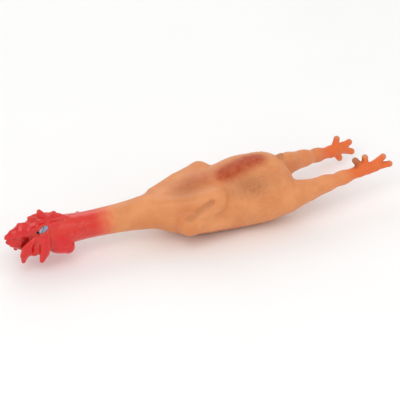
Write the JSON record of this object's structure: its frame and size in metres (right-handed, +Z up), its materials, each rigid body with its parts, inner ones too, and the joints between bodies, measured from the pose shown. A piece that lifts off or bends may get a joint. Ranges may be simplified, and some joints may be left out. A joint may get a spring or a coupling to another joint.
{
  "type": "rubber chicken",
  "caption": "Long hollow latex novelty chicken with a red head, bending neck and legs, a squeezable back and a press-in squeaker.",
  "frame": {"origin": "the middle of the flat patch of the belly, on the surface that it lies on", "axes": "+X towards the feet, -Y its left side, +Z up; the chicken lies on its belly"},
  "size_m": [0.4745, 0.1254, 0.0808],
  "materials": {
    "tan_latex": "satin moulded latex, tan with airbrushed orange",
    "red_latex": "glossy red latex paint",
    "orange_latex": "satin orange latex paint",
    "brown_latex": "satin brown latex paint",
    "eye_paint": "glossy paint",
    "squeaker_plastic": "moulded white plastic",
    "reed_plastic": "moulded ivory plastic",
    "tongue_film": "thin amber plastic film"
  },
  "bodies": {
    "torso": {"torso_skin": "tan_latex", "back_flex": "tan_latex", "left_wing": "tan_latex", "right_wing": "tan_latex", "tail_nub": "brown_latex", "left_hip": "tan_latex", "right_hip": "tan_latex", "neck_flex_1": "tan_latex", "left_hip_flex": "tan_latex", "right_hip_flex": "tan_latex", "squeaker_barrel": "squeaker_plastic", "squeaker_guard": "squeaker_plastic", "reed_tube": "reed_plastic", "reed_wedge": "reed_plastic"},
    "back": {"back_panel": "tan_latex"},
    "neck_1": {"neck_1": "tan_latex", "neck_flex_2": "tan_latex"},
    "neck_2": {"neck_2": "tan_latex", "neck_flex_3": "tan_latex"},
    "neck_3": {"neck_3": "red_latex", "neck_flex_4": "red_latex"},
    "neck_4": {"neck_4": "red_latex", "head_flex": "red_latex"},
    "head": {"head_skin": "red_latex", "upper_beak": "red_latex", "lower_beak": "red_latex", "comb": "red_latex", "left_wattle": "red_latex", "right_wattle": "red_latex", "left_cheek": "red_latex", "right_cheek": "red_latex", "left_eye": "eye_paint", "right_eye": "eye_paint"},
    "reed": {"reed_tongue": "tongue_film"},
    "left_thigh": {"left_thigh": "tan_latex", "left_thigh_flex": "tan_latex"},
    "left_knee": {"left_knee": "tan_latex", "left_hock_flex": "tan_latex"},
    "left_shank": {"left_shank": "tan_latex", "left_ankle_flex": "orange_latex"},
    "left_foot": {"left_foot": "orange_latex", "left_toes": "orange_latex"},
    "right_thigh": {"right_thigh": "tan_latex", "right_thigh_flex": "tan_latex"},
    "right_knee": {"right_knee": "tan_latex", "right_hock_flex": "tan_latex"},
    "right_shank": {"right_shank": "tan_latex", "right_ankle_flex": "orange_latex"},
    "right_foot": {"right_foot": "orange_latex", "right_toes": "orange_latex"}
  },
  "joints": [
    {"name": "back_squeeze", "type": "slide", "parent": "torso", "child": "back", "axis": [0, 0, -1], "range_m": [0, 0.014], "stiffness_N_per_m": 250, "deforming": ["back_flex"]},
    {"name": "neck_base_nod", "type": "hinge", "parent": "torso", "child": "neck_1", "pos_m": [-0.109, 0, 0.039], "axis": [0, 1, 0], "range_deg": [-22, 22], "stiffness_Nm_per_rad": 0.6, "deforming": ["neck_flex_1"]},
    {"name": "neck_low_turn", "type": "hinge", "parent": "neck_1", "child": "neck_2", "pos_m": [-0.129, 0, 0.039], "axis": [0, 0, 1], "range_deg": [-22, 22], "stiffness_Nm_per_rad": 0.45, "deforming": ["neck_flex_2"]},
    {"name": "neck_twist", "type": "hinge", "parent": "neck_2", "child": "neck_3", "pos_m": [-0.149, 0, 0.039], "axis": [1, 0, 0], "range_deg": [-30, 30], "stiffness_Nm_per_rad": 0.3, "deforming": ["neck_flex_3"]},
    {"name": "neck_top_nod", "type": "hinge", "parent": "neck_3", "child": "neck_4", "pos_m": [-0.169, 0, 0.039], "axis": [0, 1, 0], "range_deg": [-22, 22], "stiffness_Nm_per_rad": 0.3, "deforming": ["neck_flex_4"]},
    {"name": "head_turn", "type": "hinge", "parent": "neck_4", "child": "head", "pos_m": [-0.189, 0, 0.039], "axis": [0, 0, 1], "range_deg": [-22, 22], "stiffness_Nm_per_rad": 0.25, "deforming": ["head_flex"]},
    {"name": "left_hip_lift", "type": "hinge", "parent": "torso", "child": "left_thigh", "pos_m": [0.08, -0.031, 0.043], "axis": [0, 1, 0], "range_deg": [-20, 20], "stiffness_Nm_per_rad": 0.4, "deforming": ["left_hip_flex"]},
    {"name": "left_leg_spread", "type": "hinge", "parent": "left_thigh", "child": "left_knee", "pos_m": [0.10369, -0.02725, 0.04384], "axis": [0, 0, 1], "range_deg": [-25, 12], "stiffness_Nm_per_rad": 0.25, "deforming": ["left_thigh_flex"]},
    {"name": "left_hock_bend", "type": "hinge", "parent": "left_knee", "child": "left_shank", "pos_m": [0.12725, -0.02267, 0.04384], "axis": [0, 1, 0], "range_deg": [-30, 40], "stiffness_Nm_per_rad": 0.15, "deforming": ["left_hock_flex"]},
    {"name": "left_ankle_bend", "type": "hinge", "parent": "left_shank", "child": "left_foot", "pos_m": [0.15069, -0.01768, 0.04509], "axis": [0, 1, 0], "range_deg": [-25, 25], "stiffness_Nm_per_rad": 0.06, "deforming": ["left_ankle_flex"]},
    {"name": "right_hip_lift", "type": "hinge", "parent": "torso", "child": "right_thigh", "pos_m": [0.08, 0.031, 0.043], "axis": [0, 1, 0], "range_deg": [-20, 20], "stiffness_Nm_per_rad": 0.4, "deforming": ["right_hip_flex"]},
    {"name": "right_leg_spread", "type": "hinge", "parent": "right_thigh", "child": "right_knee", "pos_m": [0.10214, 0.03906, 0.03842], "axis": [0, 0, 1], "range_deg": [-20, 18], "stiffness_Nm_per_rad": 0.25, "deforming": ["right_thigh_flex"]},
    {"name": "right_hock_bend", "type": "hinge", "parent": "right_knee", "child": "right_shank", "pos_m": [0.12357, 0.04816, 0.03261], "axis": [0, 1, 0], "range_deg": [-30, 40], "stiffness_Nm_per_rad": 0.15, "deforming": ["right_hock_flex"]},
    {"name": "right_ankle_bend", "type": "hinge", "parent": "right_shank", "child": "right_foot", "pos_m": [0.14485, 0.05763, 0.02681], "axis": [0, 1, 0], "range_deg": [-25, 25], "stiffness_Nm_per_rad": 0.06, "deforming": ["right_ankle_flex"]},
    {"name": "reed_flutter", "type": "hinge", "parent": "torso", "child": "reed", "pos_m": [0.05852, 0, 0.01112], "axis": [0, 1, 0], "range_deg": [-0.8, 3], "stiffness_Nm_per_rad": 0.00005}
  ]
}
